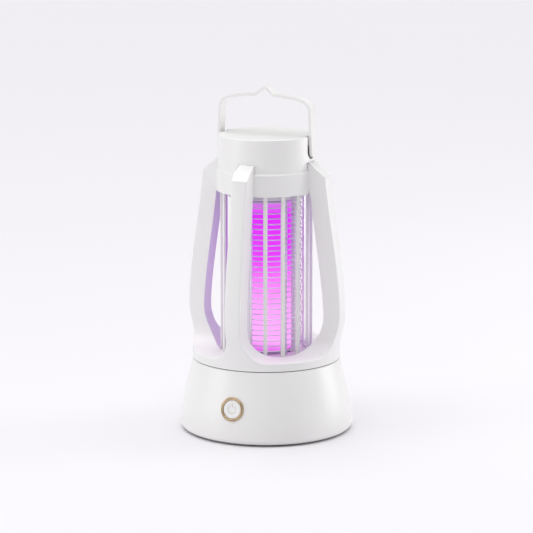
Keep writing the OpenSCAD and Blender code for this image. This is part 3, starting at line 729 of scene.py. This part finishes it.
def make_underside():
    """Bottom cover, foot ring and screws, with smooth round faces."""
    for node, slot, material in (("bottom_cover", "white_plastic", plastic),
                                 ("cover_screws", "steel", screw_steel)):
        piece(node + "_smooth", copy_of(node), "base", material, (node,), 30)
    high = node_span("foot_ring")[1]
    groove = 0.5
    ring = spun(outline((50.6, high.z, 0.2), (50.6, 0, 0.5), (52.4, 0, 0.3), (52.8, groove, 0.2),
                        (53.7, groove, 0.2), (54.1, 0, 0.3), (55.9, 0, 0.5), (55.9, high.z, 0.2)),
                160)
    piece("foot_ring_soft", ring, "base", grey_rubber, ("foot_ring",))


# ---- Cage ----

ROUND_OUT = 1.0
ROUND_IN = 0.5


def window_edge():
    """The window's edge on one side of a post, from the sill's middle to the post's top.
    Each point has its place x and z, the way into the material, and the rail points where the
    outer and the inner sheet end away from the window. Along the sill it has an angle too."""
    bottom = SEAM_Z + SEAM_GAP
    points = []
    start_x = POST_HALF + CORNER_R
    sill_r = outer_radius(SILL_Z)
    full = math.radians(45)
    first = math.asin(start_x / sill_r)
    for k in range(4):
        angle = full + (first - full) * k / 4
        points.append(dict(angle=angle, x=sill_r * math.sin(angle), z=SILL_Z, way=(0, -1),
                           rail=(sill_r * math.sin(angle), bottom), inner_rail=None))
    steps = 12
    for k in range(steps + 1):
        a = math.radians(90) * (1 - k / steps)
        x = start_x - CORNER_R * math.cos(a)
        z = SILL_Z + CORNER_R * (1 - math.sin(a))
        along = 2 * k / steps
        low = (start_x * (1 - along), bottom) if along <= 1 else (
            0, bottom + (SILL_Z + CORNER_R - bottom) * (along - 1))
        inner = (start_x * (1 - along), SILL_Z) if along <= 1 else (
            0, SILL_Z + CORNER_R * (along - 1))
        points.append(dict(angle=None, x=x, z=z, way=(-math.cos(a), -math.sin(a)), rail=low,
                           inner_rail=inner))
    rows = 20
    start_z = SILL_Z + CORNER_R
    inner_top = POST_TOP[1] + 9.5
    for k in range(1, rows + 1):
        z = start_z + (POST_TOP[1] - start_z) * k / rows
        inner_z = start_z + (inner_top - start_z) * k / rows
        points.append(dict(angle=None, x=POST_HALF, z=z, inner_z=inner_z, way=(-1, 0), rail=(0, z),
                           inner_rail=(0, inner_z)))
    return points


def on_face(x, z, radius):
    """Point on a face of revolution, in front of the axis."""
    return Vector((x, -math.sqrt(max(radius * radius - x * x, 0)), z))


def cage_row(edge):
    """Points across the cage at one place of the window's edge: outer face from its rail, round
    edge, jamb, inner round edge, and inner face to its rail."""
    x, z, way = edge["x"], edge["z"], edge["way"]
    inner_z = edge.get("inner_z", z)
    angle = edge["angle"]

    def outer_point(px, pz, sink=0.0):
        radius = outer_radius(pz) - sink
        return on_face(px if angle is None else radius * math.sin(angle), pz, radius)

    flat = (x + way[0] * ROUND_OUT, z + way[1] * ROUND_OUT)
    row = [outer_point(edge["rail"][0] + (flat[0] - edge["rail"][0]) * k / 5,
                       edge["rail"][1] + (flat[1] - edge["rail"][1]) * k / 5) for k in range(5)]
    for k in range(5):
        a = math.radians(90) * k / 4
        shift = ROUND_OUT * (1 - math.sin(a))
        row.append(outer_point(x + way[0] * shift, z + way[1] * shift,
                               ROUND_OUT * (1 - math.cos(a))))
    inner_angle = None
    if angle is not None:
        share = (angle - EDGE_FIRST) / (math.radians(45) - EDGE_FIRST)
        inner_angle = SILL_FIRST + (math.radians(45) - SILL_FIRST) * share

    def inner_point(px, pz, rise=0.0):
        radius = inner_radius(max(pz, SILL_Z)) + rise
        return on_face(px if angle is None else radius * math.sin(inner_angle), pz, radius)

    inner_start = inner_point(x, inner_z, ROUND_IN)
    outer_end = row[-1]
    row += [outer_end.lerp(inner_start, k / 4) for k in range(1, 5)]
    fade = min(1.0, (z - SILL_Z) / 4)
    for k in range(1, 4):
        a = math.radians(90) * k / 3
        shift = ROUND_IN * (1 - math.cos(a)) * fade
        px, pz = x + way[0] * shift, inner_z + way[1] * shift
        row.append(inner_point(px, pz, ROUND_IN * (1 - math.sin(a))))
    last = row[-1]
    rail = edge["inner_rail"] or (last.x, last.z)
    for k in range(1, 5):
        pz = last.z + (rail[1] - last.z) * k / 4
        row.append(inner_point(last.x + (rail[0] - last.x) * k / 4, pz))
    return row


EDGE_FIRST = math.asin((POST_HALF + CORNER_R) / outer_radius(SILL_Z))
SILL_FIRST = math.asin((POST_HALF + CORNER_R) / SILL_IN_R)


def make_cage_frame():
    """Posts and lower ring as one skin: a grid moved onto the post's faces, mirrored and turned."""
    rows = [cage_row(edge) for edge in window_edge()]
    across, along = len(rows[0]), len(rows)
    bm = bmesh.new()
    bmesh.ops.create_grid(bm, x_segments=across - 1, y_segments=along - 1, size=0.5)
    for v in bm.verts:
        i = round((v.co.y + 0.5) * (along - 1))
        j = round((v.co.x + 0.5) * (across - 1))
        v.co = rows[i][j] * MM
    bmesh.ops.mirror(bm, geom=bm.verts[:] + bm.edges[:] + bm.faces[:], axis="X",
                     merge_dist=1e-6)
    cage = turned_copies(bm, 4)
    bmesh.ops.remove_doubles(cage, verts=cage.verts, dist=1e-5)
    bmesh.ops.dissolve_degenerate(cage, edges=cage.edges, dist=1e-7)
    close_post_tops(cage)
    close_underside(cage)
    bmesh.ops.recalc_face_normals(cage, faces=cage.faces)
    piece("cage_skin", cage, "cage", cage_plastic, ("cage_frame",), 50)


def open_loops(bm, low, high):
    """Boundary edges whose ends lie between two heights, in millimetres."""
    return [e for e in bm.edges if e.is_boundary
            and all(low < v.co.z / MM < high for v in e.verts)]


def close_post_tops(bm):
    """Sloping top face of each post, with a fine rounded edge and closed corners."""
    rims = open_loops(bm, POST_TOP[1] - 0.5, POST_TOP[1] + 12)
    faces = bmesh.ops.holes_fill(bm, edges=rims, sides=0)["faces"]
    bmesh.ops.bevel(bm, geom=list({e for f in faces for e in f.edges}), offset=0.35 * MM,
                    segments=3, profile=0.5, affect="EDGES", clamp_overlap=False, material=-1)
    corners = open_loops(bm, POST_TOP[1] - 2, POST_TOP[1] + 12)
    bmesh.ops.holes_fill(bm, edges=corners, sides=0)


def close_underside(bm):
    """Takes the ring's inner lip down and round to its outer skirt."""
    lip = open_loops(bm, SILL_Z - 0.5, SILL_Z + 0.5)
    skirt = open_loops(bm, SEAM_Z, SEAM_Z + 1.5)
    lip = walk(bm, lip, ((33.6, SILL_Z - 0.15), (33.4, SILL_Z - 0.5), (33.4, SILL_Z - 2)))
    skirt = walk(bm, skirt, ((50.9, SEAM_Z + SEAM_GAP), (50.5, SEAM_Z + SEAM_GAP + 0.4),
                             (50.5, SILL_Z - 2)))
    bmesh.ops.bridge_loops(bm, edges=lip + skirt)


def walk(bm, loop, stops):
    """Draws a round boundary loop through (radius, height) stops."""
    for radius, height in stops:
        made = bmesh.ops.extrude_edge_only(bm, edges=loop)["geom"]
        for v in (g for g in made if isinstance(g, bmesh.types.BMVert)):
            flat = Vector((v.co.x, v.co.y)).normalized() * radius * MM
            v.co = (flat.x, flat.y, height * MM)
        loop = [g for g in made if isinstance(g, bmesh.types.BMEdge)]
    return loop


def make_collar():
    """Collar with its bevelled upper edge, the web under the cap and the slats' upper lip."""
    points = outline((14, COLLAR_TOP_Z - 5, 0.3), (LIP_R, COLLAR_TOP_Z - 5, 0),
                     (33.9, COLLAR_TOP_Z - 5.4, 0), (LIP_R, WINDOW_TOP_Z + 3.8, 0.2),
                     (LIP_R, WINDOW_TOP_Z + 1.8, 0.2), (33.9, WINDOW_TOP_Z + 1.8, 0),
                     (33.9, WINDOW_TOP_Z, 0.3), (COLLAR_R, WINDOW_TOP_Z, 0.5),
                     (COLLAR_R, COLLAR_TOP_Z - 1.3, 0.4), (CAP_R + 0.1, COLLAR_TOP_Z, 0.1),
                     (CAP_R - 0.9, COLLAR_TOP_Z, 0), (CAP_R - 0.9, COLLAR_TOP_Z - 3, 0),
                     (14, COLLAR_TOP_Z - 3, 0.3))
    piece("collar", spun(points, 160), "cage", cage_plastic)
    lip_z = SILL_Z - 1.7
    lip = spun(outline((LIP_R, lip_z - 2, 0.3), (33.8, lip_z - 2, 0), (33.8, lip_z, 0),
                       (LIP_R, lip_z, 0.4)), 128)
    piece("slat_lip", lip, "cage", cage_plastic)


def make_slats():
    """Upright guard slats with rounded edges."""
    low, high = node_span("guard_slats")
    slat = plate(rounded_rectangle(2.0, 3.0, 0.6, 3), high.z - low.z, 0.15, 1)
    bmesh.ops.translate(slat, vec=(SLAT_AT_R * MM, 0, low.z * MM), verts=slat.verts)
    piece("guard_slats_skin", turned_copies(slat, SLATS), "cage", cage_plastic,
          ("guard_slats",))


# ---- Cap and handle ----

def make_cap():
    """Round cap with a small rounded rim, and a slot in each side for the handle's arm."""
    shell = spun(outline((29.5, COLLAR_TOP_Z - 2.8, 0), (33.7, COLLAR_TOP_Z - 2.8, 0.3),
                         (33.7, COLLAR_TOP_Z, 0), (CAP_R, COLLAR_TOP_Z, 0),
                         (CAP_R, CAP_TOP_Z, 1), (0, CAP_TOP_Z, 0), (0, CAP_TOP_Z - 2, 0),
                         (29.5, CAP_TOP_Z - 2.6, 0), segments=6), 192)
    slot_half = HANDLE_HALF_W + 1.4
    slots = [arm_slot(side, slot_half) for side in (1, -1)]
    piece("cap_shell", without(shell, *slots), "cage", plastic, ("top_cap",), 30)


def arm_slot(side, half):
    """Cutter for one slot: round below, open above."""
    arc = [(half * math.cos(a), half * math.sin(a))
           for a in (math.pi + math.pi * k / 20 for k in range(21))]
    slot = plate([*arc, (half, 22), (-half, 22)], 10)
    turn = Matrix.Rotation(math.radians(90), 4, "Z") @ Matrix.Rotation(math.radians(90), 4, "X")
    place = Matrix.Translation((32 * MM, 0, PIVOT_Z * MM)) @ turn
    if side < 0:
        place = Matrix.Rotation(math.pi, 4, "Z") @ place
    bmesh.ops.transform(slot, matrix=place, verts=slot.verts)
    return slot


def handle_line():
    """Middle line of the handle from one arm's foot to the other, as (x, height)."""
    top = HANDLE_TOP_Z - HANDLE_T / 2 - PEAK_H
    arm = -ARM_IN - HANDLE_T / 2
    corner = ((arm + 1.2, top - 12), (arm + 1.3, top - 6.5), (arm + 3, top - 3.8), (-26, top - 2.3))
    bar = ((-26, top - 2.3), (-19, top - 1), (-13, top - 0.4), (-7.4, top))
    arms = [(arm, PIVOT_Z - HANDLE_HALF_W * math.sin(math.radians(a)))
            for a in (88, 78, 66, 52, 36, 18, 0)]
    lift = [(arm + 1.2 * k / 6, PIVOT_Z + (top - 12 - PIVOT_Z) * k / 6) for k in range(1, 6)]
    peak = [(-6.6, top + 0.25), (-5.8, top + 0.75), (-2.2, top + 3.75), (-1.2, top + 4.4),
            (0, top + 4.62)]
    half = [*arms, *lift, *(bezier(corner, k / 12) for k in range(13)),
            *(bezier(bar, k / 6) for k in range(1, 7)), *peak]
    return half + [(-x, z) for x, z in reversed(half[:-1])]


def make_handle():
    """Flat strip bent into a bail with a hook peak, round-ended arms and pivot pins."""
    line = handle_line()
    columns = 6
    bm = bmesh.new()
    bmesh.ops.create_grid(bm, x_segments=columns, y_segments=len(line) - 1, size=0.5)
    for v in bm.verts:
        x, z = line[round((v.co.y + 0.5) * (len(line) - 1))]
        drop = max(0.0, PIVOT_Z - z)
        half = math.sqrt(max(HANDLE_HALF_W ** 2 - drop ** 2, 0.01))
        v.co = Vector((x, v.co.x * 2 * half, z)) * MM
    bmesh.ops.recalc_face_normals(bm, faces=bm.faces)
    shape = bm.faces[:] + bm.edges[:] + bm.verts[:]
    bmesh.ops.solidify(bm, geom=shape, thickness=HANDLE_T * MM)
    bmesh.ops.recalc_face_normals(bm, faces=bm.faces)
    centre_strip(bm)
    rim = [e for e in bm.edges if e.calc_face_angle(0) > math.radians(60)]
    bmesh.ops.bevel(bm, geom=rim, offset=0.45 * MM, segments=3, profile=0.5, affect="EDGES",
                    clamp_overlap=True, material=-1)
    pins = [rod((side * 27.5, 0, PIVOT_Z), (side * (ARM_IN + 0.6), 0, PIVOT_Z), 2.0, 40)
            for side in (1, -1)]
    piece("handle_strip", joined(bm, *pins), "handle", plastic,
          ("carry_handle",), 35)


def centre_strip(bm):
    """Shifts the thickened strip so that its middle follows the handle's line."""
    arm = -ARM_IN - HANDLE_T / 2
    left = min(v.co.x for v in bm.verts) / MM
    shift = (arm - HANDLE_T / 2) - left
    if abs(shift) < 0.05:
        return
    centre = Vector((0, 0, PIVOT_Z * MM))
    for v in bm.verts:
        reach = v.co - centre
        flat = Vector((reach.x, 0, reach.z))
        if flat.length:
            v.co += flat.normalized() * (-shift) * MM


# ---- Lamp tower ----

def make_lamp():
    """Glowing tube with its two end caps."""
    tube = spun(outline((LAMP_R - 1.4, TUBE_LOW_Z, 0), (LAMP_R, TUBE_LOW_Z, 0.4),
                        (LAMP_R, TUBE_HIGH_Z, 0.4), (LAMP_R - 1.4, TUBE_HIGH_Z, 0)), 96)
    piece("lit_lamp_tube", tube, "base", glow_tube, ("lamp_tube",))

    for node, flip in (("lamp_lower_cap", False), ("lamp_upper_cap", True)):
        low, high = node_span(node)
        outer = high.x
        floor = low.z if not flip else high.z
        rim = high.z if not flip else low.z
        step = -1.6 if flip else 2
        points = outline((0, floor, 0), (outer, floor, 0.5), (outer, rim, 0.6),
                         (LAMP_R + 0.05, rim, 0.3), (LAMP_R + 0.05, floor + step, 0),
                         (0, floor + step, 0))
        piece(node + "_skin", spun(points, 96), "base", lamp_cap_plastic,
              (node,))


def rod_places(angles, radius):
    """Points round the axis at the given angles, in millimetres."""
    return [(radius * math.cos(math.radians(a)), radius * math.sin(math.radians(a)))
            for a in angles]


LIVE = dict(ring=25.6, rod=26.65, angles=(30, 150, 270), first=0)
RETURN = dict(ring=24.8, rod=23.75, angles=(90, 210, 330), first=1)


def make_grid(name, node, layout):
    """One polarity of the grid: stacked wire rings welded to three upright rods."""
    circle = outline((layout["ring"] - WIRE_R, -WIRE_R, WIRE_R * 0.98),
                     (layout["ring"] + WIRE_R, -WIRE_R, WIRE_R * 0.98),
                     (layout["ring"] + WIRE_R, WIRE_R, WIRE_R * 0.98),
                     (layout["ring"] - WIRE_R, WIRE_R, WIRE_R * 0.98), segments=1)
    ring = spun(circle, 96)
    mesh = bpy.data.meshes.new("ring")
    ring.to_mesh(mesh)
    ring.free()
    grid = bmesh.new()
    for i in range(layout["first"], RINGS, 2):
        kept = len(grid.verts)
        grid.from_mesh(mesh)
        grid.verts.ensure_lookup_table()
        lift = (RING_LOW_Z + i * RING_PITCH) * MM
        bmesh.ops.translate(grid, vec=(0, 0, lift), verts=grid.verts[kept:])
    bpy.data.meshes.remove(mesh)
    low, high = node_span(node)
    rods = [rod((x, y, low.z), (x, y, high.z), ROD_R, 20, 0.3)
            for x, y in rod_places(layout["angles"], layout["rod"])]
    welds = []
    for x, y in rod_places(layout["angles"], (layout["ring"] + layout["rod"]) / 2):
        for i in range(layout["first"], RINGS, 2):
            weld = bmesh.new()
            bmesh.ops.create_icosphere(weld, subdivisions=1, radius=WELD_R * MM)
            place = Vector((x, y, RING_LOW_Z + i * RING_PITCH)) * MM
            bmesh.ops.translate(weld, vec=place, verts=weld.verts)
            welds.append(weld)
    piece(name, joined(grid, *rods, *welds), "base", wire_steel, (node,), 60, False)


def make_tower():
    """Seat, top plate, pillars and insect tray of the lamp tower."""
    low, high = node_span("lamp_seat")
    cap_r = node_span("lamp_lower_cap")[1].x
    seat = spun(outline((6, low.z, 0), (SEAT_R, low.z, 0.2), (SEAT_R, high.z, 0.8),
                        (cap_r + 1.6, high.z, 0.3), (cap_r + 0.1, high.z - 1.2, 0.2),
                        (cap_r + 0.1, low.z + 3, 0), (6, low.z + 3, 0)), 128)
    piece("lamp_seat_skin", seat, "base", inner_plastic, ("lamp_seat",))
    low, high = node_span("grid_top_plate")
    cover = spun(outline((0, high.z, 0), (0, low.z + 1, 0), (cap_r + 0.1, low.z + 1, 0),
                         (cap_r + 0.1, low.z, 0.2), (SEAT_R, low.z, 0.6), (SEAT_R, high.z, 0.6)),
                 128)
    piece("top_plate_skin", cover, "base", inner_plastic, ("grid_top_plate",))
    low, high = node_span("grid_pillars")
    pillar = spun(outline((0, low.z, 0), (2.4, low.z, 0.2), (1.8, low.z + 3, 0.5),
                          (1.8, high.z - 3, 0.5), (2.4, high.z, 0.2), (0, high.z, 0)), 24)
    bmesh.ops.translate(pillar, vec=(21.0 * MM, 0, 0), verts=pillar.verts)
    piece("pillars_skin", turned_copies(pillar, 3), "base", inner_plastic,
          ("grid_pillars",))
    low, high = node_span("insect_tray")
    tray = spun(outline((28.7, low.z, 0.3), (47, low.z, 0.6), (47, high.z, 0.45),
                        (46, high.z, 0.45), (46, low.z + 1.1, 0.8), (29.7, low.z + 1.1, 0.8),
                        (29.7, high.z, 0.45), (28.7, high.z, 0.45)), 160)
    piece("tray_skin", tray, "base", inner_plastic, ("insect_tray",))


# ---- Finishes of the CAD nodes that stay ----

KEPT = {
    "battery_cradle": dark_plastic, "battery_cell": cell_wrap, "battery_contacts": screw_steel,
    "battery_leads": lead_red, "main_board": board_green, "board_screws": screw_steel,
    "step_up_transformer": dark_plastic, "high_voltage_capacitors": lacquer,
    "control_chips": dark_plastic, "charge_board": board_green, "charging_socket": screw_steel,
    "port_flap_pin": screw_steel, "tact_switch": dark_plastic, "switch_board": board_green,
    "seat_screws": screw_steel, "led_board": board_white, "uv_leds": led_lens,
    "lamp_leads": lead_red, "grid_leads": lead_red, "cap_screws": screw_steel,
    "handle_bushes": grey_rubber}


def finish_kept_nodes():
    """Gives each CAD node that stays its material."""
    for node, material in KEPT.items():
        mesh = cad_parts[node].data
        mesh.materials.clear()
        mesh.materials.append(material)


# ---- Stage, light and camera ----

def pale_floor():
    """Plain pale floor, large enough to fill the picture."""
    g = Graph("pale floor")
    mottle = g.noise(3, 2, 0.5)
    tone = g.mix(mottle, (0.79, 0.775, 0.80), (0.78, 0.765, 0.79))
    material = g.made(Base_Color=tone, Roughness=0.75, Specular_IOR_Level=0.2)
    bm = bmesh.new()
    bmesh.ops.create_grid(bm, x_segments=1, y_segments=1, size=6)
    floor = plain_object("floor", bm)
    floor.data.materials.append(material)


def area_light(name, place, size, power, aim=(0, 0, 0.11), colour=(1, 1, 1)):
    """Soft box aimed at the object."""
    data = bpy.data.lights.new(name, "AREA")
    data.shape = "RECTANGLE"
    data.size, data.size_y = size
    data.energy = power
    data.color = colour
    lamp = bpy.data.objects.new(name, data)
    scene.collection.objects.link(lamp)
    lamp.location = place
    lamp.rotation_euler = (Vector(aim) - Vector(place)).to_track_quat("-Z", "Y").to_euler()


def around_axis(angle, distance, height):
    """Place at a compass angle from the front, as seen from above."""
    a = math.radians(angle)
    return (distance * math.sin(a), -distance * math.cos(a), height)


def make_light():
    """Even pale surroundings, a broad overhead light and a soft box on each side."""
    world = bpy.data.worlds.new("studio")
    scene.world = world
    world.use_nodes = True
    world.node_tree.nodes["Background"].inputs["Color"].default_value = (0.96, 0.95, 0.97, 1)
    world.node_tree.nodes["Background"].inputs["Strength"].default_value = 0.43
    overhead = bpy.data.lights.new("overhead", "SUN")
    overhead.energy = 2.3
    overhead.angle = math.radians(70)
    lamp = bpy.data.objects.new("overhead", overhead)
    scene.collection.objects.link(lamp)
    lamp.rotation_euler = (math.radians(2), math.radians(-4), 0)
    area_light("left box", around_axis(-50, 1.2, 0.15), (0.6, 1.1), 4.4)
    area_light("right box", around_axis(126, 1.2, 0.12), (0.6, 1.1), 7.6)


def make_camera():
    """Camera at the product shot's height and angle."""
    view = math.radians(24)
    pitch = math.radians(11.35)
    distance = 1.778
    aim = Vector((0, 0, 0.1179))
    offset = Vector((math.sin(view) * math.cos(pitch), -math.cos(view) * math.cos(pitch),
                     math.sin(pitch))) * distance
    data = bpy.data.cameras.new("camera")
    data.lens = 166.8
    data.sensor_width = 36
    data.clip_end = 50
    camera = bpy.data.objects.new("camera", data)
    scene.collection.objects.link(camera)
    camera.location = aim + offset
    camera.rotation_euler = (-offset).to_track_quat("-Z", "Y").to_euler()
    scene.camera = camera


make_base()
make_seam_shade_ring()
make_port()
make_charge_light()
make_button()
make_underside()
make_cage_frame()
make_collar()
make_slats()
make_cap()
make_handle()
make_lamp()
make_grid("live_rings", "live_grid", LIVE)
make_grid("return_rings", "return_grid", RETURN)
make_tower()
finish_kept_nodes()
pale_floor()
make_light()
make_camera()
